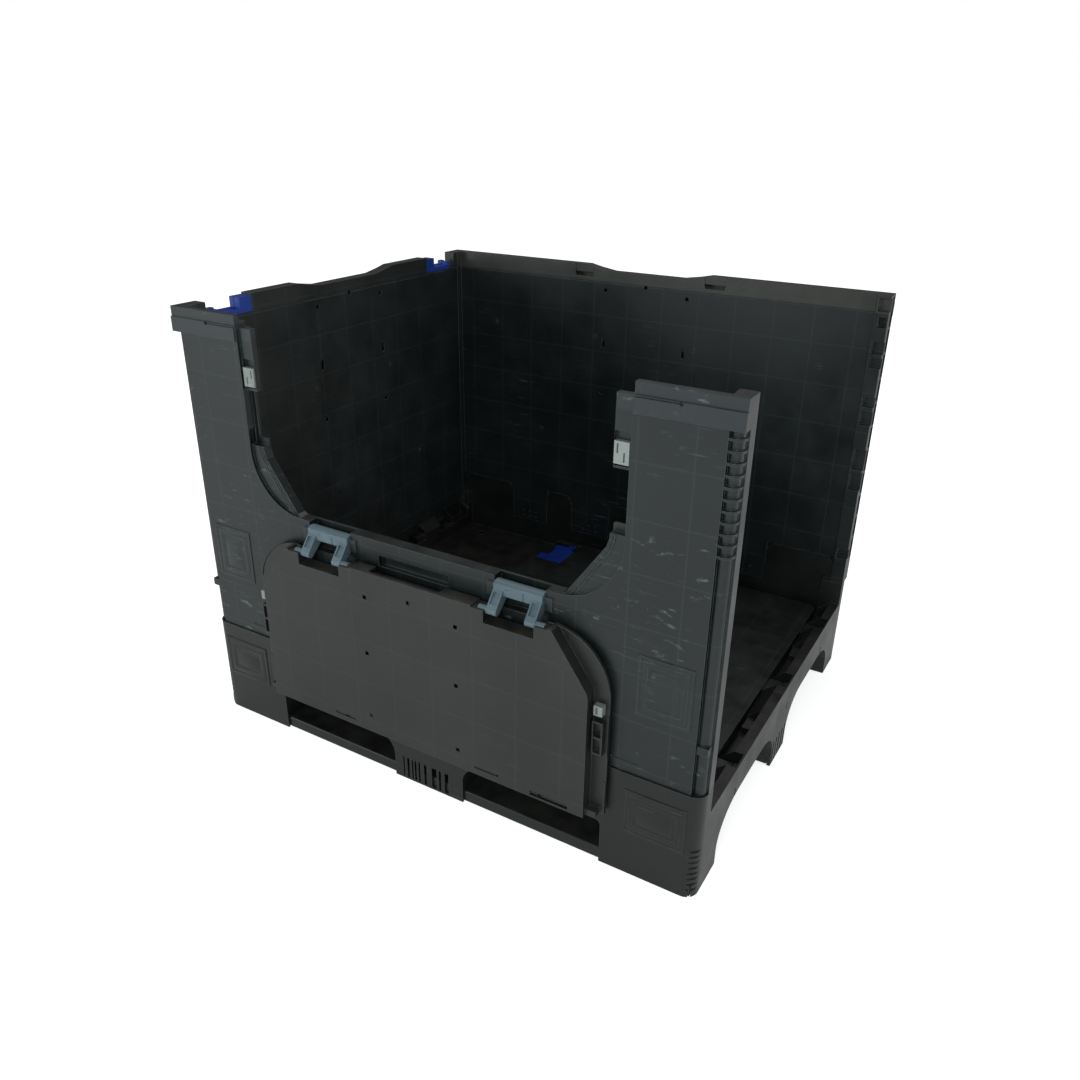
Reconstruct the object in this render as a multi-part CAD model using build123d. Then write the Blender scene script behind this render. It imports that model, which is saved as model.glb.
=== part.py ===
"""Folding bulk container: pallet base, four walls, a drop door and sliding latches.

Millimetres. The origin is on the ground under the middle of the base. +X runs along the
long side, +Z is up, and the side with the drop door faces -Y. The right end wall is
modelled folded down on the deck, and the drop door hanging open.
"""

from build123d import *
import os
from math import atan2, cos, degrees, hypot, pi, radians, sin

os.makedirs("parts", exist_ok=True)

# Driving sizes
LENGTH = 1200.0
WIDTH = 1000.0
HEIGHT = 950.0
HALF_L = LENGTH / 2
HALF_W = WIDTH / 2
WALL = 30.0  # thickness of every wall
SKIN = 3.0  # moulded skin of the walls and the door
GAP = 0.5  # between pieces that meet without moving
CLEAR = 2.0  # between pieces that swing past each other

# Pallet base
SEAM_Z = 232.0  # where the long walls stand on the base
DECK_Z = 124.0
DECK_THICK = 7.0
CORNER_R = 26.0
WINDOW_TOP = 99.0  # fork windows under the long sides
ARCH_TOP = 106.0  # fork arches under the short sides
FOOT_X = 405.0  # inner edge of a corner foot, seen from the front
MID_FOOT_X = 88.0
FOOT_Y = 390.0  # inner edge of a corner foot, seen from the side
MID_FOOT_Y = 48.0
ARCH_R = (88.0, 105.0)  # how far each arch leans over, at the middle foot and at a corner
ARCH_RISE = 70.0
RUNNER_H = 28.0
RUNNER_W = 95.0
RUNNER_Y = 448.0  # centre line of the outer runners
COLUMN = 48.0  # depth of the corner columns on the long walls
FOOT_SKIN_R = 20.0  # inner corner radius of the hollow feet
GRIP_FROM = 18.0  # gripping grooves up each corner: lowest, spacing, depth and height
GRIP_STEP = 13.0
GRIP_DEEP = 3.0
GRIP_TALL = 6.0

# End walls: they fold first, the right one under the left one
END_HALF = HALF_W - COLUMN - CLEAR
HINGE_X = HALF_L - WALL / 2
RIGHT_HINGE_Z = DECK_Z + 1.5 + WALL / 2
LEFT_HINGE_Z = RIGHT_HINGE_Z + WALL + CLEAR
WALL_FOOT = 40.0  # from an end wall's hinge axis to its lower edge
RIM_DROP = 7.5  # from an end wall's lower edge to the rim below it
PIN_R = 4.0
PIN_FIT = 0.06
KNUCKLE_R = 10.0
TONGUES = ((-305.0, -265.0), (17.0, 67.0), (308.0, 358.0))  # along Y on an end wall
RIM_BAYS = ((-260.0, -100.0), (72.0, 232.0), (363.0, 446.0))  # grooves inside the ridge
RIDGE_X = 578.0
SHELF_X = 548.0
DIP = 13.0  # the top edge dips in the middle of a wall
DIP_HALF = 118.0
DIP_RUN = 40.0
BAND = 50.0  # height of the plain band along the top of a wall

# Sliding wall latches
LATCH_FROM = 312.0  # inner edge of a released latch, from the wall's middle
LATCH_LEN = 102.0
LATCH_TALL = 78.0
LATCH_TOP = 946.0
LATCH_THICK = 13.0
LATCH_TRAVEL = 20.0
BOLT_LEN = 34.0

# Long walls
LONG_HINGE_Z = LEFT_HINGE_Z + WALL + CLEAR
LONG_PIN_Y = HALF_W - WALL / 2
TONGUE_FOOT = 188.0
TONGUE_BAYS = ((-391.0, -277.0), (-192.0, -72.0), (72.0, 192.0), (277.0, 391.0))
UPSTAND_TOP = 292.0
UPSTAND_THICK = 7.0
FACE_SET = 3.0  # the faces of the long walls are set back behind the cap band

# Door opening in the front wall
SILL_Z = 555.0
OPEN_HALF = 390.0
OPEN_CHAMFER = (77.0, 125.0)
LEDGE_Z = 689.0
REBATE_HALF = 421.0
REBATE_R = 125.0
REBATE_Y = -490.0
STRIP_TOP = 926.0
CAP_FROM = 424.0
TEETH = 11  # ladder down the right post's outer edge
TOOTH_TOP = 892.0
TOOTH_STEP = 19.0

# Drop door and its links
DOOR_THICK = 32.0
DOOR_SKIN = 6.0
DOOR_TURN_Y = -503.0  # the door hangs and closes as if turned about this line
DOOR_TURN_Z = 535.0
DOOR_TOP = 504.0
DOOR_BOTTOM = 126.0
DOOR_HALF = 386.5
FLANGE_HALF = 418.0
FLANGE_R = 120.0
LINK_FOOT = (-524.0, 498.0)  # door pivot of the links, (y, z) with the door hanging
LINK_OFFSET = 11.0  # sill pivot, inward from the line the door turns about
LINK_X = 223.0
LINK_W = 102.0
LEG_W = 21.0
LINK_PIN_R = 3.5
LINK_R = 18.5  # reach of the link's bar around its sill pivot
FOOT_R = 8.0
STUB = 19.0
STUB_R = 7.0

# Small details
SQUARE = 9.0
SLOT = (8.0, 24.0)
DRAIN_R = 12.0
END_POCKETS = ((914, 944), (818, 846), (786, 810), (694, 718), (650, 684), (538, 590), (486, 532), (302, 328))


def block(x0, x1, y0, y1, z0, z1):
    """A box between two corners."""
    size = (abs(x1 - x0), abs(y1 - y0), abs(z1 - z0))
    return Pos((x0 + x1) / 2, (y0 + y1) / 2, (z0 + z1) / 2) * Box(*size)


def rod_x(x0, x1, y, z, r):
    """A round bar along X."""
    return Pos((x0 + x1) / 2, y, z) * Rot(0, 90, 0) * Cylinder(r, abs(x1 - x0))


def rod_y(x, y0, y1, z, r):
    """A round bar along Y."""
    return Pos(x, (y0 + y1) / 2, z) * Rot(90, 0, 0) * Cylinder(r, abs(y1 - y0))


def closed_face(points):
    """A face inside a closed outline; repeated neighbours are dropped."""
    kept = [p for p, q in zip(points, points[-1:] + points[:-1]) if hypot(p[0] - q[0], p[1] - q[1]) > 0.01]
    return make_face(Polyline(*kept, close=True))


def slab_xz(points, y0, y1):
    """A closed (x, z) outline made solid from y0 to y1."""
    return extrude(Plane.XZ.offset(-y0) * closed_face(points), y0 - y1)


def slab_yz(points, x0, x1):
    """A closed (y, z) outline made solid from x0 to x1."""
    return extrude(Plane.YZ.offset(x0) * closed_face(points), x1 - x0)


def arc_points(cx, cz, r, start, stop, count=10):
    """Points along an arc, in degrees."""
    turn = [start + (stop - start) * i / count for i in range(count + 1)]
    return [(cx + r * cos(radians(a)), cz + r * sin(radians(a))) for a in turn]


def save(solid, name):
    """Writes one piece to its STEP file."""
    shape = solid if isinstance(solid, (Solid, Compound)) else Compound(solid)
    export_step(shape, f"parts/{name}.step")


# ---------------------------------------------------------------- pallet base
def window(half_in, half_out, top, lean_in, lean_out, rise_in, rise_out):
    """Outline of a fork opening to one side of the middle foot, open at the ground."""
    outline = [(half_in, -1.0)]
    for x, z in arc_points(0, 0, 1, 180, 90, 10):
        outline.append((half_in + lean_in * (1 + x), top - rise_in * (1 - z)))
    for x, z in arc_points(0, 0, 1, 90, 0, 10):
        outline.append((half_out - lean_out * (1 - x), top - rise_out * (1 - z)))
    return outline + [(half_out, -1.0)]


def rim_cuts(side, hinge_z):
    """What is taken off a short side's rim: slope, hinge slots, grooves and the rod's bore."""
    rim = hinge_z + WALL_FOOT - RIM_DROP
    half = END_HALF + 2
    profile = [(side * (SHELF_X - 1), hinge_z + 7), (side * RIDGE_X, rim)]
    profile += [(side * RIDGE_X, SEAM_Z + 1), (side * (SHELF_X - 1), SEAM_Z + 1)]
    cuts = [slab_xz(profile, -half, half)]
    cuts.append(block(side * 577, side * (HALF_L + 1), -half, half, rim, SEAM_Z + 1))
    for y0, y1 in TONGUES:
        cuts.append(block(side * 547, side * 596, y0 - 4, y1 + 4, hinge_z - 14, SEAM_Z))
    for y0, y1 in RIM_BAYS:
        cuts.append(block(side * 547, side * RIDGE_X, y0, y1, hinge_z - 14, SEAM_Z))
    cuts.append(rod_y(side * HINGE_X, -END_HALF + 6, END_HALF - 6, hinge_z, PIN_R + PIN_FIT))
    # shallow plates pressed into the full-width blocks, and drain slots in the outer face
    for y in (-336.0, -16.0):
        cuts.append(block(side * 576, side * 597, y, y + 1.2, rim - 1, rim + 1))
    for y in (-306.0, 32.0, 306.0):
        cuts.append(block(side * 594, side * (HALF_L + 1), y - 3, y + 3, 106, 124))
    return cuts


def rim_lugs(side, hinge_z):
    """Lugs at the far end of each groove that steady a raised end wall."""
    lugs = []
    for _, y1 in RIM_BAYS[:2]:
        lugs.append(block(side * 551, side * 570, y1 - 38, y1 + 1, hinge_z - 15, hinge_z + 4))
    return lugs


def make_base():
    """The moulded pallet base with its deck, feet, rims and wall upstands."""
    plan = RectangleRounded(LENGTH, WIDTH, CORNER_R)
    body = extrude(plan, SEAM_Z)
    inner_y = HALF_W - WALL
    cuts = []
    for s in (1, -1):
        points = window(MID_FOOT_X, FOOT_X, WINDOW_TOP, 46, 12, 46, 12)
        cuts.append(slab_xz([(s * x, z) for x, z in points], -HALF_W - 1, HALF_W + 1))
        arch = window(MID_FOOT_Y, FOOT_Y, ARCH_TOP, *ARCH_R, ARCH_RISE, ARCH_RISE)
        cuts.append(slab_yz([(s * y, z) for y, z in arch], -HALF_L - 1, HALF_L + 1))
    # the tub above the deck, and the rims of the two short sides
    cuts.append(block(-SHELF_X, SHELF_X, -inner_y, inner_y, DECK_Z, SEAM_Z + 1))
    cuts += rim_cuts(1, RIGHT_HINGE_Z) + rim_cuts(-1, LEFT_HINGE_Z)
    # hinge pockets for the long walls, open to the inside and the top
    for s in (1, -1):
        for x0, x1 in TONGUE_BAYS:
            cuts.append(
                block(x0 - 1, x1 + 1, s * (inner_y - 1), s * (HALF_W - 6), TONGUE_FOOT - 2, 240)
            )
        cuts.append(rod_x(-410, 410, s * LONG_PIN_Y, LONG_HINGE_Z, PIN_R + PIN_FIT))
    # hollow feet, and a rib grid under the deck
    feet = []
    for cx, half_x in ((-502, 92), (0, MID_FOOT_X - 6), (502, 92)):
        for cy, half_y in ((-447, 46), (0, MID_FOOT_Y - 6), (447, 46)):
            hollow = RectangleRounded(2 * half_x, 2 * half_y, FOOT_SKIN_R)
            feet.append(Pos(cx, cy, -1) * extrude(hollow, 97))
    cuts += feet
    under = DECK_Z - DECK_THICK
    for i in range(6):
        for j in range(5):
            x = -500 + i * 200
            y = -376 + j * 188
            cuts.append(block(x - 96, x + 96, y - 90, y + 90, 96 if abs(y) < 300 else 97, under))
    # runner channels through the feet
    for y in (-RUNNER_Y, 0, RUNNER_Y):
        half = RUNNER_W / 2 + GAP
        cuts.append(block(-HALF_L + 8, HALF_L - 8, y - half, y + half, -1, RUNNER_H + GAP))
    # drain holes
    for sx in (1, -1):
        for sy in (1, -1):
            cuts.append(Pos(sx * 480, sy * 424, DECK_Z) * Cylinder(DRAIN_R, 40))
    # gripping grooves on the corners and slots in the middle feet
    for sx in (1, -1):
        for sy in (1, -1):
            inset = CORNER_R - (CORNER_R - GRIP_DEEP + 5) * cos(radians(45))
            for i in range(8):
                edge = Pos(sx * (HALF_L - inset), sy * (HALF_W - inset), GRIP_FROM + i * GRIP_STEP)
                cuts.append(edge * Rot(0, 0, 45 * sx * sy) * Box(10, 26, GRIP_TALL))
    for s in (1, -1):
        for x, w in ((-65, 4), (-53, 6), (-42, 4), (-34, 5), (-24, 5), (-8, 7), (15, 13), (30, 6), (47, 10)):
            cuts.append(block(x - w / 2, x + w / 2, s * 493, s * 501, 4, 56))
        for i in range(5):
            y = -40 + i * 20
            cuts.append(block(s * 586, s * 601, y - 4, y + 4, 2, 62))
    body -= cuts
    body += rim_lugs(1, RIGHT_HINGE_Z) + rim_lugs(-1, LEFT_HINGE_Z)
    # upstands that the long walls' tongues stand between
    for s in (1, -1):
        for x0, x1 in ((-568, -393), (-275, -194), (-70, 70), (194, 275), (393, 568)):
            top = UPSTAND_TOP
            points = [(x0, SEAM_Z - 1), (x0, top - 22), (x0 + 14, top), (x1 - 14, top)]
            points += [(x1, top - 22), (x1, SEAM_Z - 1)]
            y0 = s * inner_y
            body += slab_xz(points, min(y0, y0 + s * UPSTAND_THICK), max(y0, y0 + s * UPSTAND_THICK))
    return body


def make_runner(y):
    """A runner plate under one row of feet."""
    half = RUNNER_W / 2
    plate = block(-HALF_L + 10, HALF_L - 10, y - half, y + half, 0, RUNNER_H)
    plate = fillet(plate.edges().filter_by(Axis.X), 5)
    for i in range(12):
        x = -528 + i * 96
        plate -= block(x - 42, x + 42, y - half + 8, y + half - 8, -1, RUNNER_H - 6)
    return plate


# ---------------------------------------------------------------- long walls
def dipped_top(half_x, top):
    """The right half of a wall's top edge, dipping towards the middle."""
    pts = [(0, top - DIP), (DIP_HALF - 22, top - DIP)]
    pts += [(DIP_HALF + DIP_RUN * 0.5, top - DIP * 0.5), (DIP_HALF + DIP_RUN + 10, top)]
    pts += [(half_x, top)]
    return pts


def tongue_cuts(s):
    """Space around the base's upstands at the foot of a long wall."""
    inner_y = HALF_W - WALL
    cuts = []
    for x0, x1 in ((-571, -392), (-276, -193), (-71, 71), (193, 276), (392, 571)):
        y0, y1 = s * (inner_y - 1), s * (inner_y + UPSTAND_THICK + GAP)
        cuts.append(block(x0, x1, y0, y1, SEAM_Z - 1, UPSTAND_TOP + 1))
    return cuts


def long_wall_shell(s, outline, top_band):
    """Skin, cap band, columns and hinge tongues that both long walls share."""
    inner_y = HALF_W - WALL
    y_out = HALF_W - FACE_SET
    body = slab_xz(outline, min(s * inner_y, s * y_out), max(s * inner_y, s * y_out))
    for x0, x1 in top_band:
        body += block(x0, x1, s * (y_out - 1), s * HALF_W, HEIGHT - BAND, HEIGHT - 20)
    for side in (1, -1):
        x0, x1 = side * (HALF_L - WALL), side * HALF_L
        body += block(x0, x1, s * (HALF_W - COLUMN), s * (inner_y + 1), SEAM_Z + GAP, HEIGHT)
    for x0, x1 in TONGUE_BAYS:
        body += block(x0, x1, s * inner_y, s * (HALF_W - 8), TONGUE_FOOT, SEAM_Z + 3)
    for cut in tongue_cuts(s):
        body -= cut
    body -= rod_x(-410, 410, s * LONG_PIN_Y, LONG_HINGE_Z, PIN_R + PIN_FIT)
    return body


def keeper_pockets(s):
    """Pockets in a long wall's columns that the end walls' latch bolts slide into."""
    z = LATCH_TOP - 56
    cuts = []
    for side in (1, -1):
        x0, x1 = side * (HALF_L - 20), side * (HALF_L - 2.5)
        cuts.append(block(x0, x1, s * (HALF_W - COLUMN - 1), s * (HALF_W - 28), z - 12, z + 12))
    return cuts


def hole_pattern(square_z=(889, 906, 616), slot_z=752):
    """Vent squares and slots in a wall's inner skin, as (along, z, wide, high)."""
    low, high, mid = square_z
    spots = [(-113, low, SQUARE, SQUARE), (0, high, SQUARE, SQUARE), (113, low, SQUARE, SQUARE)]
    spots += [(-113, mid, SQUARE, SQUARE), (113, mid, SQUARE, SQUARE)]
    spots += [(-113, slot_z, *SLOT), (113, slot_z, *SLOT)]
    return spots


def make_back_wall():
    """The back long wall: two skins, level ribs, cells open at both ends."""
    inner_y = HALF_W - WALL
    right = dipped_top(HALF_L, HEIGHT) + [(HALF_L, SEAM_Z + GAP), (0, SEAM_Z + GAP)]
    outline = right + [(-x, z) for x, z in reversed(right[1:-1])]
    body = long_wall_shell(1, outline, ((-HALF_L, HALF_L),))
    z = UPSTAND_TOP + 6
    while z < HEIGHT - DIP - 40:
        body -= block(-HALF_L - 1, HALF_L + 1, inner_y + SKIN, HALF_W - FACE_SET - SKIN, z, z + 52)
        z += 58
    body -= block(-HALF_L - 1, -CAP_FROM, inner_y + SKIN, HALF_W - SKIN - 3, 892, 944)
    body -= block(CAP_FROM, HALF_L + 1, inner_y + SKIN, HALF_W - SKIN - 3, 892, 944)
    for cut in keeper_pockets(1):
        body -= cut
    for z0, z1 in END_POCKETS:
        body -= block(HALF_L - 26, HALF_L + 1, HALF_W - COLUMN - 1, inner_y - 4, z0, z1)
        body -= block(-HALF_L - 1, 26 - HALF_L, HALF_W - COLUMN - 1, inner_y - 4, z0, z1)
    for x, zc, w, h in hole_pattern():
        body -= block(x - w / 2, x + w / 2, inner_y - 1, inner_y + SKIN + 1, zc - h / 2, zc + h / 2)
    body -= block(-569, 569, inner_y - 1, inner_y + 1.4, HEIGHT - 43, HEIGHT - 40)
    for x in (-176, 183):
        body -= block(x - 27, x + 27, inner_y - 1, inner_y + 3, HEIGHT - 24, HEIGHT + 1)
        body -= block(x - 25, x + 25, inner_y - 1, inner_y + 9, HEIGHT - 30, HEIGHT - 24)
    for x, _ in ((-335, 0), (-132, 0), (132, 0), (335, 0)):
        for i in range(3):
            for j in range(2):
                hole = Pos(x - 20 + 20 * i, inner_y, 197 + 16 * j) * Rot(90, 0, 0)
                body -= hole * Cylinder(2.5, 8)
    return body


def opening_outline(half, chamfer, base):
    """Right half of the door opening: sill, sloping corner and upright."""
    dx, dz = chamfer
    pts = [(0, base), (half - dx - 8, base), (half - dx, base + 5)]
    return pts + [(half - 5, base + dz - 16), (half, base + dz)]


def make_front_wall():
    """The front long wall with the U-shaped door opening and its two posts."""
    inner_y = -(HALF_W - WALL)
    face_y = -(HALF_W - FACE_SET)
    foot = SEAM_Z + GAP
    opening = opening_outline(OPEN_HALF, OPEN_CHAMFER, SILL_Z)
    half = [(x, z) for x, z in opening[1:]] + [(OPEN_HALF, HEIGHT), (HALF_L, HEIGHT), (HALF_L, foot)]
    outline = half + [(-x, z) for x, z in reversed(half)]
    body = long_wall_shell(-1, outline, ((-HALF_L, -CAP_FROM), (CAP_FROM, HALF_L)))
    # cells, open at the foot of the wall and closed above
    for i in range(12):
        x = -528 + 96 * i
        top = 890 if abs(x) > 430 else SILL_Z - 62
        if abs(x) < 480:
            top = min(top, SILL_Z - 62)
        low = UPSTAND_TOP + 2
        body -= block(x - 45, x + 45, inner_y - SKIN, face_y + SKIN, low, top)
        body -= block(x - 9, x + 9, inner_y - 12, face_y + SKIN, foot - 1, low + 1)
    for s in (1, -1):
        # rebate for the door's flange, and the stepped jamb behind it
        rebate = [(0, HEIGHT + 1), (0, SILL_Z), (REBATE_HALF - REBATE_R, SILL_Z)]
        rebate += arc_points(REBATE_HALF - REBATE_R, SILL_Z + REBATE_R, REBATE_R, -90, 0, 12)
        rebate += [(REBATE_HALF, HEIGHT + 1)]
        body -= slab_xz([(s * x, z) for x, z in rebate], face_y - 5, REBATE_Y)
        x0, x1 = s * 389, s * 412
        body -= block(x0, x1, -477, inner_y + 1, LEDGE_Z + 14, HEIGHT + 1)
        body -= block(x0, s * (REBATE_HALF + 0.5), REBATE_Y - 1, -476.5, LEDGE_Z, 804)
        body -= block(s * 420, s * 430, -494.5, -478, LEDGE_Z + 1, 722)
        body -= block(s * 389, s * (REBATE_HALF + 2), -501, inner_y + 1, STRIP_TOP, HEIGHT + 1)
        body -= block(s * 390.5, s * 419, -491, -483.5, 808, 866)
        # cap: slit with a round end, thinner top edge than the wall below it
        body -= block(s * (CAP_FROM - 2), s * 500, -501, -497, 926, 928.5)
        body -= Pos(s * 500, -498, 927) * Rot(90, 0, 0) * Cylinder(3.2, 6)
        body -= block(s * (CAP_FROM - 4), s * 571, -484, inner_y + 1, HEIGHT - 14, HEIGHT + 1)
        # the post's outer edge: a set-back round column, with a ladder of teeth on the right one
        body -= block(s * 575, s * 601, -501, -476, SEAM_Z, HEIGHT - BAND)
        column = Pos(s * 583, -478, (SEAM_Z + HEIGHT - BAND) / 2) * Cylinder(13, HEIGHT - BAND - SEAM_Z)
        body += column & block(s * 573, s * 600, -500, -475, SEAM_Z + GAP, HEIGHT - BAND)
        for i in range(TEETH if s > 0 else 0):
            z = TOOTH_TOP - TOOTH_STEP * i
            tooth = Pos(s * 582, -480, z - 6) * Cylinder(17, 4.5)
            body += tooth & block(s * 573, s * 599, -499, -475, z - 9, z - 3)
        body += block(s * 576, s * 597, -495, -478, 322, 338)
        # slits above the seam, a plain panel frame on the post
        body -= block(s * 418, s * 478, -501, face_y + 2, 254, 257.5)
    # two recesses in the sill take the door links, and a hand slot lies between them
    ay, az = link_sill_pivot()
    for s in (1, -1):
        half_w = LINK_W / 2 + 3
        x0, x1 = s * LINK_X - half_w, s * LINK_X + half_w
        body += block(x0 - 14, x1 + 14, -500.5, face_y + 1, az - 14, az + 12)
        body -= block(x0, x1, -502, ay + LINK_R + 0.5, az - LINK_R - 2, SILL_Z + 1)
        body -= block(x0 + 8, x1 - 8, -502, -480, az - LINK_R - 16, az)
        body -= rod_x(x0 - 12, x1 + 12, ay, az, LINK_PIN_R + PIN_FIT)
    body -= block(-100, 66, -501, -486, 502, 524)
    for cut in keeper_pockets(-1):
        body -= cut
    return body


def link_sill_pivot():
    """(y, z) of the links' pivot in the sill, off the line the door turns about."""
    by, bz = LINK_FOOT
    cy, cz = DOOR_TURN_Y, DOOR_TURN_Z
    dy, dz = cy - by, cz - bz
    run = hypot(dy, dz)
    return cy + LINK_OFFSET * dz / run, cz - LINK_OFFSET * dy / run


# ---------------------------------------------------------------- end walls
def make_end_wall(hinge_z):
    """An end wall standing upright at the +X end, with open cells between its ribs."""
    x_in, x_out = HALF_L - WALL, HALF_L
    foot = hinge_z + WALL_FOOT
    right = [(y, z) for y, z in dipped_top(END_HALF, HEIGHT)]
    right += [(END_HALF, foot + 14), (END_HALF - 14, foot), (0, foot)]
    outline = right + [(-y, z) for y, z in reversed(right[1:-1])]
    body = slab_yz(outline, x_in, x_out)
    z = foot + 14
    while z < LATCH_TOP - LATCH_TALL - 60:
        body -= block(x_in + SKIN, x_out - SKIN, -END_HALF - 1, END_HALF + 1, z, z + 54)
        z += 60
    top_cell = (z, LATCH_TOP - LATCH_TALL - 8)
    body -= block(x_in + SKIN, x_out - SKIN, -END_HALF - 1, END_HALF + 1, *top_cell)
    body -= block(x_in + SKIN, x_out - SKIN, -LATCH_FROM + 30, LATCH_FROM - 30, top_cell[1] + 5, 925)
    for s in (1, -1):
        low, high = s * (LATCH_FROM - 1), s * (LATCH_FROM + LATCH_LEN + LATCH_TRAVEL + 1)
        z0, z1 = LATCH_TOP - LATCH_TALL - 1, HEIGHT + 1
        # pocket for the latch plate in the outer face, and its bolt channel
        body -= block(x_out - LATCH_THICK - 1.5, x_out + 1, low, high, z0, z1 - 3)
        bolt_z = LATCH_TOP - 56
        channel = (s * (LATCH_FROM + LATCH_LEN), s * (END_HALF + 1), bolt_z - 10, bolt_z + 10)
        body -= block(x_out - LATCH_THICK - 1.5, x_out - 3, *channel)
        # notch in the band, so the latch is reached from the inside
        body -= block(x_in - 1, x_out + 1, low, high, 911, z1)
    for y0, y1 in TONGUES:
        body += block(HINGE_X - 7, HINGE_X + 7, y0, y1, hinge_z, foot + 3)
        body += rod_y(HINGE_X, y0, y1, hinge_z, KNUCKLE_R)
    body -= rod_y(HINGE_X, -END_HALF, END_HALF, hinge_z, PIN_R + PIN_FIT)
    body -= block(x_in - 1, x_in + 1.4, -END_HALF + 1, END_HALF - 1, HEIGHT - 43, HEIGHT - 40)
    for y, zc, w, h in hole_pattern():
        body -= block(x_in - 1, x_in + SKIN + 1, y - w / 2, y + w / 2, zc - h / 2, zc + h / 2)
    for y, zc in ((340, 738), (-340, 738), (318, 566), (-318, 566), (86, 415), (-92, 415), (304, 330)):
        body -= Pos(x_in, y, zc) * Rot(0, 90, 0) * Cylinder(2.6, 2 * SKIN + 2)
    body -= Pos(x_in + WALL / 2, -92, 416) * Rot(0, 90, 0) * Cylinder(2.6, WALL + 2)
    return body


def make_wall_latch(s):
    """A U-shaped sliding latch on the +Y or -Y end of the right end wall, upright."""
    x1 = HALF_L - 0.6
    x0 = x1 - LATCH_THICK + 1.2
    y0 = LATCH_FROM
    y1 = LATCH_FROM + LATCH_LEN
    bottom = LATCH_TOP - LATCH_TALL
    plate = [(y0, bottom), (y1 - 22, bottom), (y1, bottom + 16), (y1, LATCH_TOP - 14)]
    plate += [(y1 - 14, LATCH_TOP - 14), (y1 - 14, 924), (y0 + 34, 924), (y0 + 34, LATCH_TOP)]
    plate += [(y0, LATCH_TOP)]
    body = slab_yz([(s * y, z) for y, z in plate], x0, x1)
    # finger block that fills the notch, reached from inside the container
    body += block(HALF_L - WALL + 0.6, x1, s * y0, s * (y0 + 33), 912, LATCH_TOP)
    body += block(HALF_L - WALL + 0.6, x1, s * (y0 + 30), s * (y1 - 2), 912, 922)
    body += block(HALF_L - WALL + 0.6, x1, s * (y1 - 12), s * y1, 912, LATCH_TOP - 16)
    bolt_z = LATCH_TOP - 56
    body += block(x0, x1 - 3, s * (y1 - 4), s * (y1 + BOLT_LEN - 1), bolt_z - 9, bolt_z + 9)
    # arrow and grip slot pressed into the outer face
    arrow = [(y0 + 26, 893), (y0 + 44, 907), (y0 + 44, 898), (y0 + 70, 898)]
    arrow += [(y0 + 70, 888), (y0 + 44, 888), (y0 + 44, 879)]
    body -= slab_yz([(s * y, z) for y, z in arrow], x1 - 1.6, x1 + 1)
    body -= block(x1 - 3, x1 + 1, s * (y1 - 14), s * (y1 - 8), 884, 914)
    return body


def to_left(shape):
    """Carries a piece of the right end to the left end, one wall thickness higher."""
    return mirror(shape, Plane.YZ)


def folded(shape):
    """Turns a piece of the right end wall down onto the deck."""
    axis = Axis((HINGE_X, 0, RIGHT_HINGE_Z), (0, 1, 0))
    return shape.rotate(axis, -90)


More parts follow.
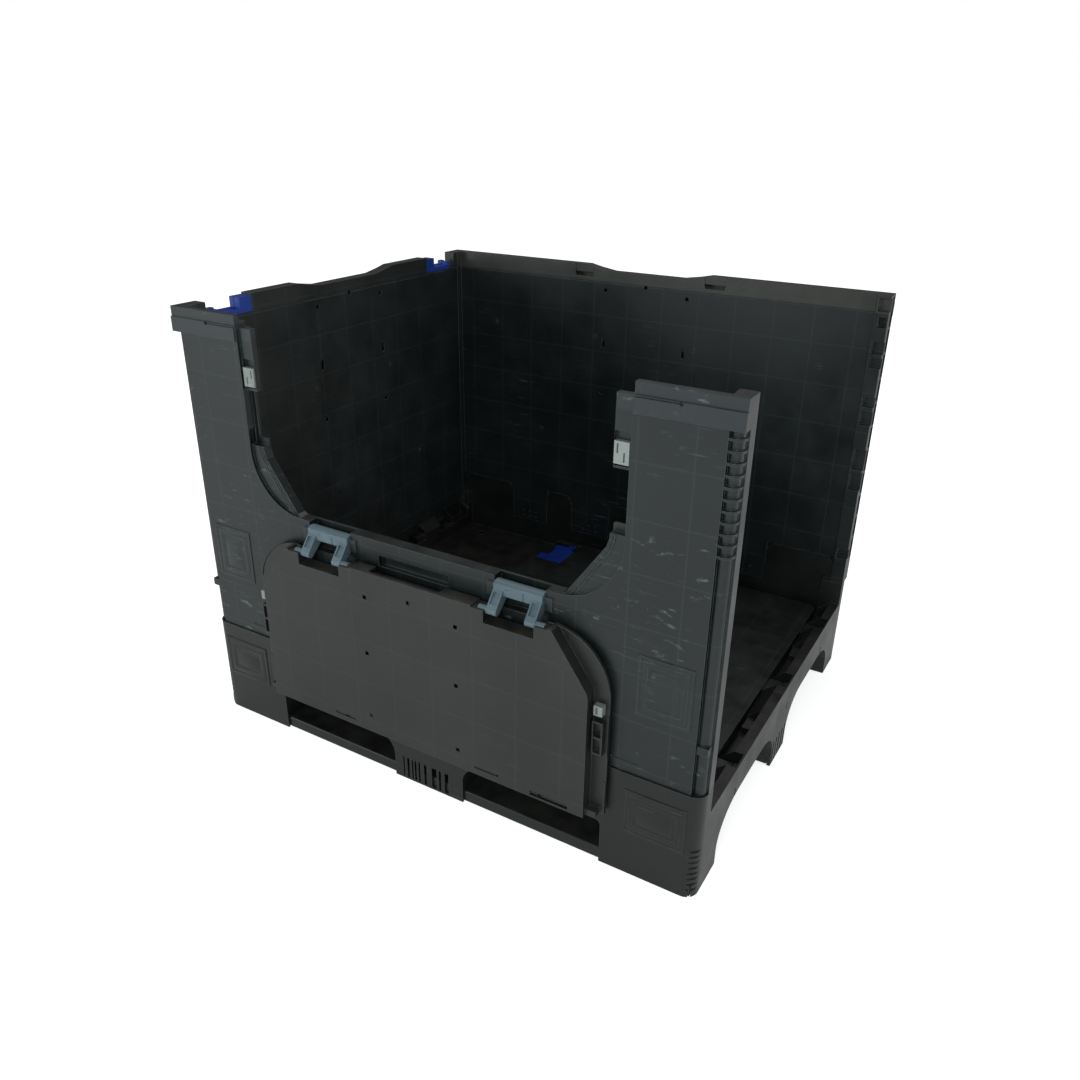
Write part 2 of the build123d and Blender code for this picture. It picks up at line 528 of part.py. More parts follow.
# ---------------------------------------------------------------- drop door
def make_door():
    """The drop door hanging open: flanged outer skin towards the wall, ribbed body outside."""
    y_skin = 2 * DOOR_TURN_Y + HALF_W
    y_body = y_skin - DOOR_SKIN
    y_face = y_skin - DOOR_THICK
    flange = [(0, DOOR_TOP), (FLANGE_HALF - FLANGE_R, DOOR_TOP)]
    flange += arc_points(FLANGE_HALF - FLANGE_R, DOOR_TOP - FLANGE_R, FLANGE_R, 90, 0, 12)
    flange += [(FLANGE_HALF, DOOR_BOTTOM + 4), (0, DOOR_BOTTOM + 4)]
    flange_all = flange + [(-x, z) for x, z in reversed(flange[1:-1])]
    corner_x, corner_z = DOOR_HALF - OPEN_CHAMFER[0] + 2, DOOR_TOP - OPEN_CHAMFER[1] + 11
    panel = [(0, DOOR_TOP), (corner_x - 8, DOOR_TOP), (corner_x, DOOR_TOP - 1)]
    panel += [(DOOR_HALF - 3, corner_z + 11), (DOOR_HALF, corner_z)]
    panel += [(DOOR_HALF, DOOR_BOTTOM), (0, DOOR_BOTTOM)]
    panel_all = panel + [(-x, z) for x, z in reversed(panel[1:-1])]
    door = slab_xz(flange_all, y_body, y_skin)
    door += slab_xz(panel_all, y_face, y_body + 1)
    for i in range(8):
        x = -336 + 96 * i
        top = DOOR_TOP - (36 if abs(x) < 290 else 130)
        door -= block(x - 45, x + 45, y_face + SKIN, y_skin - SKIN, DOOR_BOTTOM - 1, top)
    for s in (1, -1):
        # notch for a link, and open-topped cradles for its stub pins
        half = LINK_W / 2 + 2
        x0, x1 = s * LINK_X - half, s * LINK_X + half
        door -= block(x0, x1, y_face - 1, y_skin + 1, DOOR_TOP - 28, DOOR_TOP + 1)
        cradle_z = LINK_FOOT[1] + 2.5
        door -= block(x0 - STUB - 8, x1 + STUB + 8, y_face - 1, y_skin + 1, cradle_z, DOOR_TOP + 1)
        door -= rod_x(x0 - STUB, x1 + STUB, *LINK_FOOT, STUB_R + PIN_FIT)
        # flange lip, latch housing and corner step
        for z0, z1 in ((131, 204), (262, 348)):
            door += block(s * (FLANGE_HALF - 4), s * FLANGE_HALF, y_body - 2.5, y_body + 1, z0, z1)
        house = block(s * 391, s * 412, y_body - 14, y_body + 1, 268, 340)
        house -= block(s * 394, s * 409, y_body - 15, y_body - 3, 272, 303)
        house -= block(s * 394, s * 409, y_body - 15, y_body - 3, 307, 336)
        door += house
        door += block(s * (DOOR_HALF - 1), s * 408, y_face + 9, y_body + 1, DOOR_BOTTOM + 4, 141)
    for x, zc in ((-108, 448), (0, 467), (108, 448), (-112, 319), (106, 318), (-112, 168), (106, 168)):
        door -= block(x - 4.5, x + 4.5, y_face - 1, y_face + SKIN + 1, zc - 4.5, zc + 4.5)
    for x, zc in ((-303, 120), (-184, 141), (173, 143)):
        door -= block(x - 28, x + 28, y_face - 1, y_face + SKIN + 1, zc - 3, zc + 3)
    door -= block(272, 354, y_face - 1, y_face + 12, DOOR_BOTTOM + 4, DOOR_BOTTOM + 16)
    door -= block(-100, 66, y_face + 8, y_skin + 1, DOOR_TOP - 12, DOOR_TOP + 1)
    return door


def link_leg(x0, x1):
    """One leg of a link, from the sill pivot down to the door pivot, hollow in front."""
    ay, az = link_sill_pivot()
    by, bz = LINK_FOOT
    lean = atan2(bz - az, by - ay)
    run = hypot(by - ay, bz - az)
    side = lean + pi / 2
    outline = []
    for cy, cz, r in ((ay, az, 12.0), (by, bz, FOOT_R)):
        outline.append((cy + r * cos(side), cz + r * sin(side)))
    for cy, cz, r in ((by, bz, FOOT_R), (ay, az, 12.0)):
        outline.append((cy - r * cos(side), cz - r * sin(side)))
    leg = slab_yz(outline, x0, x1)
    leg += rod_x(x0, x1, by, bz, FOOT_R)
    middle = Pos((x0 + x1) / 2, (ay + by) / 2, (az + bz) / 2) * Rot(degrees(lean), 0, 0)
    return leg - middle * Pos(0, run * 0.02, -11) * Box(x1 - x0 - 6, run - 20, 10)


def make_link(s):
    """A U-shaped link between the sill and the door, moulded in one with its stub pins."""
    ay, az = link_sill_pivot()
    by, bz = LINK_FOOT
    x0, x1 = s * LINK_X - LINK_W / 2, s * LINK_X + LINK_W / 2
    bar = rod_x(x0, x1, ay, az, LINK_R)
    body = bar & block(x0, x1, ay - 12, ay + 10, az - 7, az + LINK_R)
    body += link_leg(x0, x0 + LEG_W) + link_leg(x1 - LEG_W, x1)
    body += rod_x(x0 - STUB + 1, x0 + 2, by, bz, STUB_R)
    body += rod_x(x1 - 2, x1 + STUB - 1, by, bz, STUB_R)
    # moulded groove and a sink mark in the front of the bar
    groove_x = s * LINK_X + 12
    body -= block(groove_x - 1.5, groove_x + 1.5, ay - 13, ay - 10.5, az - 8, az + 9)
    body -= block(x0 + 26, x0 + 31, ay - 13, ay - 10.5, az + 6, az + 8)
    return body - rod_x(x0 - 1, x1 + 1, ay, az, LINK_PIN_R + PIN_FIT)


def make_post_latch(s):
    """The pale slide on a post that holds the closed door."""
    body = block(s * 391.5, s * 418, -493.4, -484.2, 812, 850)
    body -= block(s * 396, s * 399, -494, -488, 830, 846)
    body -= block(s * 408, s * 411, -494, -488, 816, 832)
    return body


def make_door_catch(s):
    """A tongue on the door's flange that slides outward into the post."""
    y_body = 2 * DOOR_TURN_Y + HALF_W - DOOR_SKIN
    body = block(s * 393, s * 410, y_body - 14, y_body - 0.4, 353, 373)
    body -= block(s * 397, s * 401, y_body - 15, y_body - 9, 356, 370)
    return body


# ---------------------------------------------------------------- write the pieces
base = make_base()
save(base, "pallet_base")
for name, y in (("runner_front", -RUNNER_Y), ("runner_middle", 0.0), ("runner_back", RUNNER_Y)):
    save(make_runner(y), name)

save(make_front_wall(), "front_wall")
save(make_back_wall(), "back_wall")
save(rod_x(-408, 408, -LONG_PIN_Y, LONG_HINGE_Z, PIN_R), "front_wall_hinge_rod")
save(rod_x(-408, 408, LONG_PIN_Y, LONG_HINGE_Z, PIN_R), "back_wall_hinge_rod")

save(folded(make_end_wall(RIGHT_HINGE_Z)), "right_wall")
save(to_left(make_end_wall(LEFT_HINGE_Z)), "left_wall")
save(rod_y(HINGE_X, -END_HALF + 8, END_HALF - 8, RIGHT_HINGE_Z, PIN_R), "right_wall_hinge_rod")
save(rod_y(-HINGE_X, -END_HALF + 8, END_HALF - 8, LEFT_HINGE_Z, PIN_R), "left_wall_hinge_rod")

for s, end in ((1, "back"), (-1, "front")):
    save(folded(make_wall_latch(s)), f"right_wall_latch_{end}")
    save(to_left(make_wall_latch(s)), f"left_wall_latch_{end}")

save(make_door(), "drop_door")
for s, side in ((1, "right"), (-1, "left")):
    save(make_link(s), f"door_link_{side}")
    pin = rod_x(s * LINK_X - 62, s * LINK_X + 62, *link_sill_pivot(), LINK_PIN_R)
    save(pin, f"door_link_pin_{side}")
    save(make_post_latch(s), f"post_latch_{side}")
    save(make_door_catch(s), f"door_catch_{side}")
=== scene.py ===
from math import cos, radians, sin

import bmesh
import bpy
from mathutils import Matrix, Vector


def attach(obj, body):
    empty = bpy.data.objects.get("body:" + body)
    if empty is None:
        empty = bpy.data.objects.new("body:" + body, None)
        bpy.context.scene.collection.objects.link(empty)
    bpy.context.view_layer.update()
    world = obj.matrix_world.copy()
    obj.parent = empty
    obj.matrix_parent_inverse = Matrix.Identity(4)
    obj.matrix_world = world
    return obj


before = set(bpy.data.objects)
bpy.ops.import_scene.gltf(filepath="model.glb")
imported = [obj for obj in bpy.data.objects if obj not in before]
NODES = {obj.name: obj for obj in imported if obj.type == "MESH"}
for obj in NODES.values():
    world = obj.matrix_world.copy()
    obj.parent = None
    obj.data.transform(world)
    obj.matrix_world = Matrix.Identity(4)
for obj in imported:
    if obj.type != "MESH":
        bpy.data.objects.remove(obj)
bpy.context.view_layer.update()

MM = 0.001

# Where the frame's faces lie, millimetres
WALL_INNER_Y = 470.0  # inner face of the back wall
LEFT_WALL_INNER_X = -570.0
FOLDED_WALL_TOP = 155.5  # face of the right wall where it lies on the deck
DECK_Z = 124.3
POST_FACE_Y = -496.5
BASE_FACE_Y = -499.5
PANEL_PROUD = 1.9  # how far the plain panels stand off their faces
FLANGE_FACE_Y = -512.3
REBATE_FACE_Y = -490.2
SEAM_LIP_Z = 231.2
BAND_FOOT = 908.0  # lower edge of the plain band along the top of the walls
CAP_FOOT = 900.0  # lower edge of the cap on the door posts

# Details
MARK_R = 8.0
DRAIN_R = 12.0
RIB_PITCH = 96.0
RIB_PHASES = (48.0, 20.0, 40.0)  # where the rib grid starts along X, Y and Z
SIDES = (("right", 1), ("left", -1))


# ------------------------------------------------------------------ materials
def linear(code):
    """Linear colour, with alpha, from an sRGB hex code."""
    out = []
    for i in (1, 3, 5):
        c = int(code[i:i + 2], 16) / 255
        out.append(c / 12.92 if c <= 0.04045 else ((c + 0.055) / 1.055) ** 2.4)
    return (*out, 1.0)


def add(tree, kind, sets=None, **links):
    """Adds a node; sets holds its settings and socket values, links its incoming sockets."""
    new = tree.nodes.new(kind)
    for key, value in (sets or {}).items():
        if isinstance(key, str) and hasattr(new, key):
            setattr(new, key, value)
        else:
            new.inputs[key].default_value = value
    for key, source in links.items():
        at = int(key[1:]) if key[0] == "i" and key[1:].isdigit() else key.replace("_", " ")
        tree.links.new(source, new.inputs[at])
    return new


def new_material(name, **constants):
    """An empty material with its shader, constants set on the shader's own sockets."""
    mat = bpy.data.materials.new(name)
    mat.use_nodes = True
    tree = mat.node_tree
    tree.nodes.clear()
    out = tree.nodes.new("ShaderNodeOutputMaterial")
    shader = tree.nodes.new("ShaderNodeBsdfPrincipled")
    for key, value in constants.items():
        shader.inputs[key.replace("_", " ")].default_value = value
    tree.links.new(shader.outputs[0], out.inputs["Surface"])
    return mat, tree, shader


def ramp(tree, source, low, high, start=0.0, end=1.0):
    """A clamped range from low..high to start..end."""
    node = add(tree, "ShaderNodeMapRange", {1: low, 2: high, 3: start, 4: end}, i0=source)
    return node.outputs[0]


def blend_colour(tree, mask, first, second):
    """Mixes two colours, each a hex code or a socket, by a mask."""
    node = add(tree, "ShaderNodeMix", {"data_type": "RGBA"}, i0=mask)
    for at, colour in ((6, first), (7, second)):
        if isinstance(colour, str):
            node.inputs[at].default_value = linear(colour)
        else:
            tree.links.new(colour, node.inputs[at])
    return node.outputs[2]


def maths(tree, operation, first, second, clamp=True):
    """A maths node between two sockets or numbers, clamped unless told otherwise."""
    node = add(tree, "ShaderNodeMath", {"operation": operation, "use_clamp": clamp})
    for at, value in ((0, first), (1, second)):
        if isinstance(value, (int, float)):
            node.inputs[at].default_value = value
        else:
            tree.links.new(value, node.inputs[at])
    return node.outputs[0]


def noise(tree, where, size_mm, detail=4.0, rough=0.55):
    """Noise whose features are about size_mm across."""
    sets = {"Scale": 1000 / size_mm, "Detail": detail, "Roughness": rough}
    return add(tree, "ShaderNodeTexNoise", sets, Vector=where).outputs[0]


def stretched(tree, where, scale, turn=(0, 0, 0)):
    """Coordinates squeezed by scale, so a pattern runs long along the small axes."""
    sets = {"Scale": scale, "Rotation": tuple(radians(a) for a in turn)}
    return add(tree, "ShaderNodeMapping", sets, Vector=where).outputs[0]


def rib_lines(tree, at, half_mm=2.6):
    """Faint lines where the ribs inside a hollow wall sink its skin, on a square pitch."""
    axes = add(tree, "ShaderNodeSeparateXYZ", None, Vector=at).outputs
    mask = None
    for axis, phase in enumerate(RIB_PHASES):
        shifted = maths(tree, "ADD", axes[axis], phase * MM, clamp=False)
        near = maths(tree, "PINGPONG", shifted, RIB_PITCH / 2 * MM, clamp=False)
        line = ramp(tree, near, 0.0, half_mm * MM, 1.0, 0.0)
        mask = line if mask is None else maths(tree, "MAXIMUM", mask, line)
    return mask


def moulded(
    name, base, light, worn, gloss, dust=0.0, scratch=0.25, edge_mm=1.6, grain=0.12, band=False, ribs=0.0
):
    """A moulded thermoplastic: flow variation, fine spark-eroded grain, worn edges, scuffs.

    base and light are its two tones and worn its rubbed edges; gloss is its roughness range.
    """
    mat, tree, shader = new_material(name, IOR=1.5, Specular_IOR_Level=0.5)
    at = add(tree, "ShaderNodeTexCoord").outputs["Object"]
    # cloudy flow and handling marks, about a hand's width across
    cloud = ramp(tree, noise(tree, at, 180.0, 5.0, 0.6), 0.38, 0.66)
    colour = blend_colour(tree, cloud, base, light)
    # upright flow lines from the gates, 14 mm apart
    flow = noise(tree, stretched(tree, at, (1.0, 1.0, 0.06)), 14.0, 3.0)
    colour = blend_colour(tree, ramp(tree, flow, 0.55, 0.8, 0.0, 0.35), colour, light)
    # long fine scratches from loading, two directions
    marks = None
    for turn in ((0, 24, 8), (14, -38, 30)):
        lines = noise(tree, stretched(tree, at, (0.035, 0.7, 0.5), turn), 3.2, 2.0)
        lines = ramp(tree, lines, 0.66, 0.74)
        marks = lines if marks is None else maths(tree, "MAXIMUM", marks, lines)
    patch = ramp(tree, noise(tree, at, 260.0, 3.0), 0.5, 0.7)
    marks = maths(tree, "MULTIPLY", maths(tree, "MULTIPLY", marks, patch), scratch)
    colour = blend_colour(tree, marks, colour, worn)
    if ribs:
        lines = rib_lines(tree, at)
        shown = maths(tree, "MULTIPLY", lines, ramp(tree, noise(tree, at, 150.0), 0.4, 0.65, 0.05, ribs))
        colour = blend_colour(tree, shown, colour, worn)
    # edges: a small moulded radius, rubbed paler
    soft = add(tree, "ShaderNodeBevel", {"samples": 4, "Radius": edge_mm * MM})
    flat = add(tree, "ShaderNodeNewGeometry")
    turned = add(tree, "ShaderNodeVectorMath", {"operation": "DOT_PRODUCT"}, i0=soft.outputs[0])
    tree.links.new(flat.outputs["Normal"], turned.inputs[1])
    rubbed = ramp(tree, turned.outputs["Value"], 0.995, 0.8, 0.0, 0.55)
    rubbed = maths(tree, "MULTIPLY", rubbed, ramp(tree, noise(tree, at, 30.0), 0.35, 0.6, 0.35, 1.0))
    colour = blend_colour(tree, rubbed, colour, worn)
    if band:
        # the plain band along the top of the walls is painted paler and warmer, fully on the back wall and
        # faintly elsewhere: a painted highlight standing in for the light that catches it
        axes = add(tree, "ShaderNodeSeparateXYZ", None, Vector=at).outputs
        patchy = ramp(tree, noise(tree, at, 60.0), 0.25, 0.7, 0.5, 0.9)
        back_only = ramp(tree, axes[1], 0.44, 0.46, 0.18, 1.0)
        in_band = ramp(tree, axes[2], BAND_FOOT * MM, (BAND_FOOT + 2.5) * MM)
        band_highlight = maths(tree, "MULTIPLY", in_band, maths(tree, "MULTIPLY", patchy, back_only))
        # painted highlight: the band's warm grey, patchy, strongest on the back wall
        colour = blend_colour(tree, band_highlight, colour, "#3e3c38")
        # pale scuffs where loads and straps rub the door posts
        outside = ramp(tree, axes[1], -0.485, -0.49)
        cap = maths(tree, "MULTIPLY", ramp(tree, axes[2], CAP_FOOT * MM, (CAP_FOOT + 1) * MM), outside)
        colour = blend_colour(tree, maths(tree, "MULTIPLY", cap, 0.8), colour, "#252c2e")
        streaks = noise(tree, stretched(tree, at, (1.0, 1.0, 2.6)), 34.0, 6.0, 0.7)
        rub = ramp(tree, streaks, 0.6, 0.7, 0.0, 0.5)
        where = ramp(tree, noise(tree, at, 110.0, 1.0), 0.45, 0.6)
        rub = maths(tree, "MULTIPLY", maths(tree, "MULTIPLY", rub, where), outside)
        colour = blend_colour(tree, rub, colour, "#6f7f7e")
    if dust:
        # warehouse dust settles on what faces up
        up = add(tree, "ShaderNodeSeparateXYZ", None, Vector=flat.outputs["Normal"]).outputs[2]
        drifts = ramp(tree, noise(tree, at, 45.0), 0.3, 0.62)
        film = maths(tree, "MULTIPLY", ramp(tree, up, 0.75, 1.0), drifts)
        colour = blend_colour(tree, maths(tree, "MULTIPLY", film, dust), colour, "#5d5a52")
    tree.links.new(colour, shader.inputs["Base Color"])
    rough = ramp(tree, noise(tree, at, 90.0, 6.0), 0.3, 0.7, *gloss)
    tree.links.new(maths(tree, "ADD", rough, maths(tree, "MULTIPLY", marks, 0.3)), shader.inputs["Roughness"])
    # grain drawn at 1.5 mm, coarser than the real 0.2 mm, so that it shows; panel waviness
    fine = noise(tree, at, 1.5, 2.0)
    wavy = noise(tree, at, 120.0, 2.0)
    height = maths(tree, "ADD", maths(tree, "MULTIPLY", fine, 0.12), maths(tree, "MULTIPLY", wavy, 0.8))
    if ribs:
        height = maths(tree, "SUBTRACT", height, maths(tree, "MULTIPLY", lines, 0.25))
    bump = add(tree, "ShaderNodeBump", {"Strength": grain, "Distance": 2.0 * MM}, Height=height)
    tree.links.new(soft.outputs[0], bump.inputs["Normal"])
    tree.links.new(bump.outputs[0], shader.inputs["Normal"])
    return mat


# Polypropylene walls: near-black charcoal, satin, with a paler rubbed edge
WALL_PP = moulded(
    "polypropylene_moulded_charcoal", "#101515", "#161c1c", "#75838a",
    gloss=(0.32, 0.46), dust=0.1, band=True, ribs=0.05,
)
# The door panel: same plastic, a little browner and more even
DOOR_PP = moulded(
    "polypropylene_moulded_door", "#1c1c1a", "#262624", "#74746c",
    gloss=(0.36, 0.46), scratch=0.12, dust=0.25, ribs=0.04,
)
# High-density polyethylene base: darkest, scraped by forks and floors
BASE_PE = moulded(
    "polyethylene_moulded_base", "#0d0e0d", "#141615", "#6f726d", gloss=(0.34, 0.5), scratch=0.3, dust=0.12
)
# Glass-filled nylon links: light blue-grey, slightly chalky where the fibres come up
LINK_PA = moulded(
    "glass_filled_nylon_links", "#54646e", "#66767f", "#aab6bb", gloss=(0.42, 0.6), scratch=0.2, edge_mm=0.8
)
# Acetal latches: even saturated blue, slightly waxy
LATCH_POM = moulded(
    "acetal_moulded_blue", "#0f2f80", "#15399a", "#5f7fc0", gloss=(0.32, 0.45), scratch=0.15, edge_mm=0.8
)
# ABS post slides and door catches: pale grey
SLIDE_ABS = moulded(
    "abs_moulded_pale_grey", "#7f8480", "#8f938f", "#c3c6c2", gloss=(0.35, 0.5), scratch=0.2, edge_mm=0.6
)


def drawn_steel():
    """Zinc-plated drawn bar: fine lines along the bar and a soft grey shine."""
    mat, tree, shader = new_material("steel_drawn_zinc_plated", Metallic=1.0)
    at = add(tree, "ShaderNodeTexCoord").outputs["Object"]
    streak = noise(tree, stretched(tree, at, (0.1, 0.1, 1.0)), 1.0, 2.0)
    tree.links.new(blend_colour(tree, streak, "#8b8c8b", "#b3b4b1"), shader.inputs["Base Color"])
    tree.links.new(ramp(tree, streak, 0.3, 0.7, 0.28, 0.45), shader.inputs["Roughness"])
    return mat


STEEL = drawn_steel()

FINISH = {"pallet_base": BASE_PE, "drop_door": DOOR_PP}
for node_name, obj in NODES.items():
    if "rod" in node_name or "pin" in node_name:
        finish = STEEL
    elif "runner" in node_name:
        finish = BASE_PE
    elif "wall_latch" in node_name:
        finish = LATCH_POM
    elif "post_latch" in node_name or "catch" in node_name:
        finish = SLIDE_ABS
    elif "link" in node_name:
        finish = LINK_PA
    else:
        finish = FINISH.get(node_name, WALL_PP)
    obj.data.materials.clear()
    obj.data.materials.append(finish)


# ------------------------------------------------------------------ moulded details
def start(name):
    """Names the primitive just added and opens it in edit mode with nothing selected."""
    obj = bpy.context.active_object
    obj.name = name
    obj.data.name = name
    bpy.ops.object.mode_set(mode="EDIT")
    bpy.ops.mesh.select_mode(type="FACE")
    bpy.ops.mesh.select_all(action="DESELECT")
    return obj


def pick(obj, test):
    """Selects the faces of the piece in edit mode whose centre and normal pass the test."""
    mesh = bmesh.from_edit_mesh(obj.data)
    for face in mesh.faces:
        face.select_set(bool(test(face.calc_center_median(), face.normal)))
    mesh.select_flush(True)
    bmesh.update_edit_mesh(obj.data)


def finish_piece(obj, body, material, bevel_mm=0):
    """Rounds the edges, fixes the place in the mesh, and makes the piece ride on its body."""
    bpy.ops.object.mode_set(mode="OBJECT")
    bpy.ops.object.transform_apply(location=True, rotation=True, scale=True)
    if bevel_mm:
        rounding = obj.modifiers.new("rounding", "BEVEL")
        rounding.width = bevel_mm * MM
        rounding.segments = 2
        rounding.limit_method = "ANGLE"
        bpy.ops.object.modifier_apply(modifier=rounding.name)
    bpy.ops.object.shade_smooth_by_angle(angle=radians(35))
    obj.data.materials.clear()
    obj.data.materials.append(material)
    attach(obj, body)
    bpy.ops.object.select_all(action="DESELECT")


def turn_to(facing):
    """Euler turn that carries +Z to a row axis."""
    return Vector(facing).to_track_quat("Z", "Y").to_euler()


def gate_mark(name, centre, facing, body):
    """A round gate mark: a low disc with a dished middle and a small nub."""
    bpy.ops.mesh.primitive_cylinder_add(
        vertices=28, radius=MARK_R * MM, depth=1.6 * MM,
        location=[c * MM for c in centre], rotation=turn_to(facing),
    )
    obj = start(name)
    pick(obj, lambda at, normal: normal.z > 0.9)
    bpy.ops.mesh.inset(thickness=MARK_R * 0.28 * MM)
    bpy.ops.transform.translate(value=(0, 0, -0.6 * MM), orient_type="LOCAL")
    bpy.ops.mesh.inset(thickness=MARK_R * 0.45 * MM)
    raised = {"value": (0, 0, 0.7 * MM), "orient_type": "NORMAL"}
    bpy.ops.mesh.extrude_region_move(TRANSFORM_OT_translate=raised)
    finish_piece(obj, body, WALL_PP, 0.2)


def plain_panel(name, side, along, face_y, height, material):
    """A plain framed panel of nested steps on the front of the base or of a door post.

    along is its reach in x from the middle of the container, height its reach in z.
    """
    x0, x1 = (side * x * MM for x in along)
    z0, z1 = (z * MM for z in height)
    middle = ((x0 + x1) / 2, (face_y - PANEL_PROUD / 2) * MM, (z0 + z1) / 2)
    bpy.ops.mesh.primitive_cube_add(size=1, location=middle)
    bpy.context.active_object.scale = (abs(x1 - x0), PANEL_PROUD * MM, z1 - z0)
    bpy.ops.object.transform_apply(location=True, rotation=True, scale=True)
    obj = start(name)
    pick(obj, lambda at, normal: normal.y < -0.9)
    # each frame's width, and how far the face inside it then steps in (+) or out (-)
    for width, step in ((4.5, 0.9), (6.0, -0.7), (9.0, 0.7), (9.0, -0.7)):
        bpy.ops.mesh.inset(thickness=width * MM)
        bpy.ops.mesh.extrude_region_move(TRANSFORM_OT_translate={"value": (0, step * MM, 0)})
    finish_piece(obj, "base", material, 0.5)


def drain_ring(name, x, y):
    """A raised, rounded lip round a drain hole in the deck."""
    bpy.ops.mesh.primitive_torus_add(
        major_segments=40, minor_segments=8, major_radius=(DRAIN_R + 1.6) * MM, minor_radius=1.2 * MM,
        location=(x * MM, y * MM, DECK_Z * MM),
    )
    finish_piece(start(name), "base", BASE_PE)


def bead(name, points, radius_mm, body, material):
    """A thin rounded bead along a line of points, closed at both ends."""
    data = bpy.data.curves.new(name, "CURVE")
    data.dimensions = "3D"
    data.bevel_depth = radius_mm * MM
    data.bevel_resolution = 2
    data.use_fill_caps = True
    line = data.splines.new("POLY")
    line.points.add(len(points) - 1)
    for point, (x, y, z) in zip(line.points, points):
        point.co = (x * MM, y * MM, z * MM, 1.0)
    obj = bpy.data.objects.new(name, data)
    bpy.context.collection.objects.link(obj)
    bpy.ops.object.select_all(action="DESELECT")
    obj.select_set(True)
    bpy.context.view_layer.objects.active = obj
    bpy.ops.object.convert(target="MESH")
    finish_piece(bpy.context.active_object, body, material)


def arc(cx, cz, r, start, stop, count=16):
    """(x, z) points along an arc, angles in degrees."""
    turns = [radians(start + (stop - start) * i / count) for i in range(count + 1)]
    return [(cx + r * cos(a), cz + r * sin(a)) for a in turns]


bpy.ops.object.select_all(action="DESELECT")

# gate marks on the inner faces of the walls
BACK_MARKS = ((-139, 766), (139, 766), (460, 769), (-452, 769), (-300, 480), (300, 480))
LEFT_MARKS = ((-139, 700), (139, 700), (-250, 430), (250, 430))
RIGHT_MARKS = ((40, -139), (40, 139), (330, -250), (330, 250))
for i, (x, z) in enumerate(BACK_MARKS):
    gate_mark(f"back_wall_gate_mark_{i + 1}", (x, WALL_INNER_Y, z), (0, -1, 0), "base")
for i, (y, z) in enumerate(LEFT_MARKS):
    gate_mark(f"left_wall_gate_mark_{i + 1}", (LEFT_WALL_INNER_X, y, z), (1, 0, 0), "left_wall")
for i, (x, y) in enumerate(RIGHT_MARKS):
    gate_mark(f"right_wall_gate_mark_{i + 1}", (x, y, FOLDED_WALL_TOP), (0, 0, 1), "right_wall")

for side, s in SIDES:
    plain_panel(f"post_panel_{side}", s, (458, 562), POST_FACE_Y, (362, 484), WALL_PP)
    plain_panel(f"base_panel_{side}", s, (450, 574), BASE_FACE_Y, (98, 196), BASE_PE)

for side, s in SIDES:
    # a rolled lip along the door's flange
    edge = [(292, 502.4)] + arc(298, 384, 118.4, 90, 9)
    bead(f"door_flange_lip_{side}", [(s * x, FLANGE_FACE_Y, z) for x, z in edge], 1.7, "drop_door", DOOR_PP)
    # two beads down each jamb of the opening, off is how far each stands outside the jamb
    for i, off in enumerate((5, 11)):
        line = [(317 + 0.82 * off, 558 - 0.57 * off), (385 + 0.82 * off, 664 - 0.57 * off)]
        line += [(389.5 + 0.95 * off, 680 - 0.3 * off), (390 + off, 688)]
        bead(f"jamb_bead_{side}_{i + 1}", [(s * x, REBATE_FACE_Y, z) for x, z in line], 1.3, "base", WALL_PP)
    # the base's top edge, where it stands out round the foot of the front wall
    seam = [(420, -500)] + arc(574, -474, 25.4, -90, -10)
    bead(f"base_seam_lip_{side}", [(s * x, y, SEAM_LIP_Z) for x, y in seam], 0.9, "base", BASE_PE)

for i, (x, y) in enumerate(((-480, 424), (-480, -424))):
    drain_ring(f"drain_ring_{i + 1}", x, y)


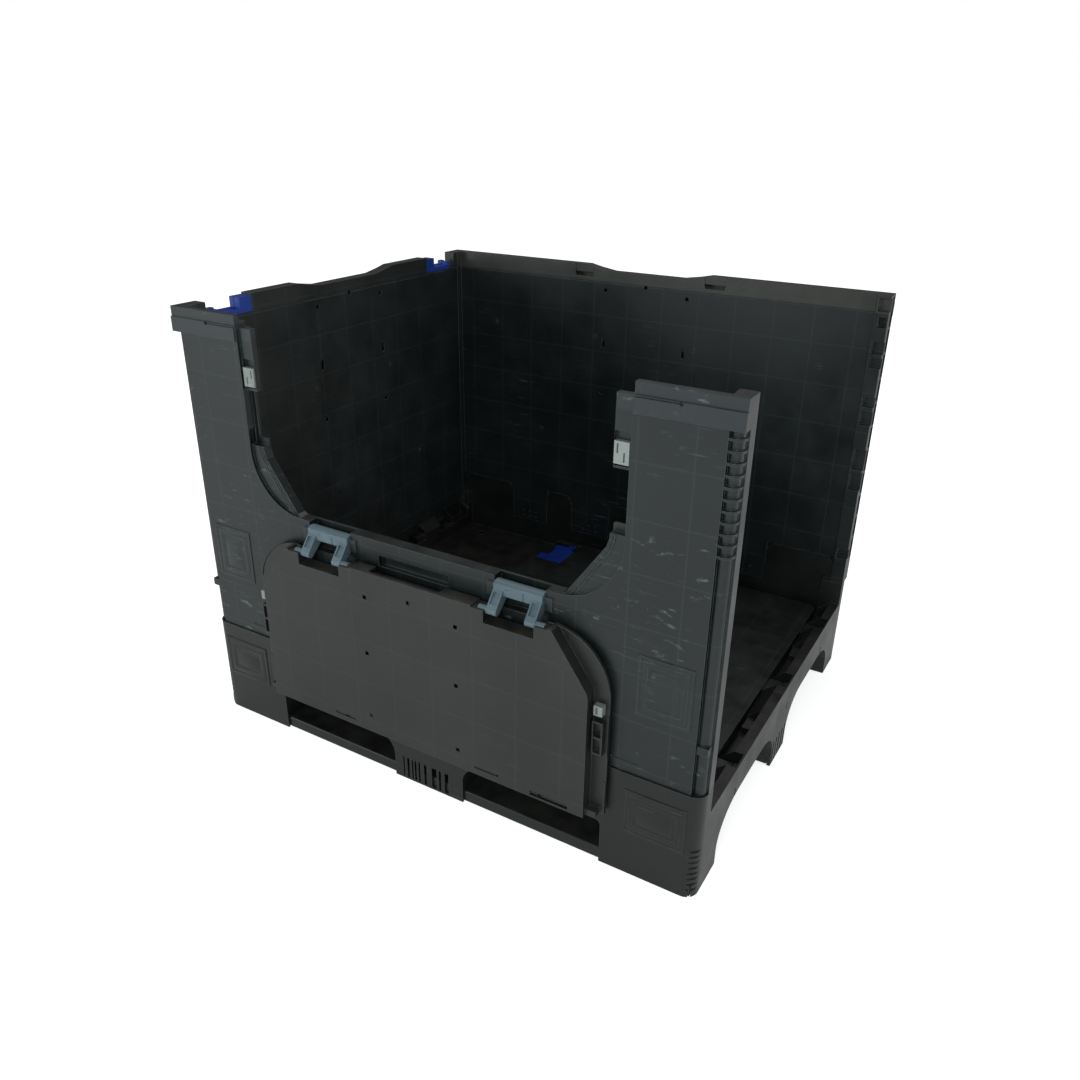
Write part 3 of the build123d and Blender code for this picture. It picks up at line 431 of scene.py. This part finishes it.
# ------------------------------------------------------------------ stage, lights, camera
def make_floor():
    """A pale seamless floor under the container."""
    bpy.ops.mesh.primitive_plane_add(size=400, location=(0, 0, 0))
    floor = bpy.context.active_object
    floor.name = "studio_floor"
    mat, tree, shader = new_material("painted_studio_floor", Roughness=0.95)
    shader.inputs["Base Color"].default_value = linear("#f6f6f6")
    shader.inputs["Emission Color"].default_value = linear("#ffffff")
    # brighter with distance so that no horizon shows, and dimmer as a light than it looks
    at = add(tree, "ShaderNodeTexCoord").outputs["Object"]
    away = add(tree, "ShaderNodeVectorMath", {"operation": "LENGTH"}, i0=at).outputs["Value"]
    glow = ramp(tree, away, 1.0, 2.6, 0.7, 1.0)
    seen = add(tree, "ShaderNodeLightPath").outputs["Is Camera Ray"]
    strength = maths(tree, "MULTIPLY", glow, ramp(tree, seen, 0.0, 1.0, 0.28, 1.0))
    tree.links.new(strength, shader.inputs["Emission Strength"])
    floor.data.materials.append(mat)


def make_light(name, place, target, size, power, colour="#ffffff"):
    """A soft square light at place, aimed at target."""
    data = bpy.data.lights.new(name, "AREA")
    data.shape = "RECTANGLE"
    data.size, data.size_y = size
    data.energy = power
    data.color = linear(colour)[:3]
    lamp = bpy.data.objects.new(name, data)
    lamp.location = place
    aim = Vector(target) - Vector(place)
    lamp.rotation_euler = aim.to_track_quat("-Z", "Y").to_euler()
    bpy.context.collection.objects.link(lamp)


make_floor()
make_light("overhead_softbox", (-0.6, 1.2, 4.0), (0, 0.2, 0.5), (2.6, 2.0), 46)
make_light("left_front_softbox", (-2.8, -4.0, 1.6), (0, -0.4, 0.5), (2.4, 2.0), 72, "#eaf6f6")
make_light("right_front_softbox", (1.6, -3.9, 2.4), (0.1, -0.2, 0.5), (1.6, 1.6), 88, "#eaf6f6")
make_light("right_softbox", (4.4, 0.8, 1.0), (0.4, 0, 0.3), (2.0, 2.0), 50)

# a white surround for the view, dimmer as a light so that the inside stays dark
world = bpy.data.worlds.new("studio_world")
world.use_nodes = True
sky = world.node_tree
sky.nodes["Background"].inputs[0].default_value = linear("#ffffff")
seen = add(sky, "ShaderNodeLightPath").outputs["Is Camera Ray"]
sky.links.new(ramp(sky, seen, 0.0, 1.0, 0.11, 1.0), sky.nodes["Background"].inputs[1])
bpy.context.scene.world = world
bpy.context.scene.view_settings.view_transform = "Standard"

camera_data = bpy.data.cameras.new("camera")
camera_data.lens = 30.75
camera_data.sensor_width = 36.0
camera_data.shift_x = 0.0031
camera_data.shift_y = 0.0020
camera = bpy.data.objects.new("camera", camera_data)
camera.location = (0.9798, -1.7318, 1.3154)
camera.rotation_euler = (radians(64.8054), radians(-0.7095), radians(30.7072))
bpy.context.collection.objects.link(camera)
bpy.context.scene.camera = camera
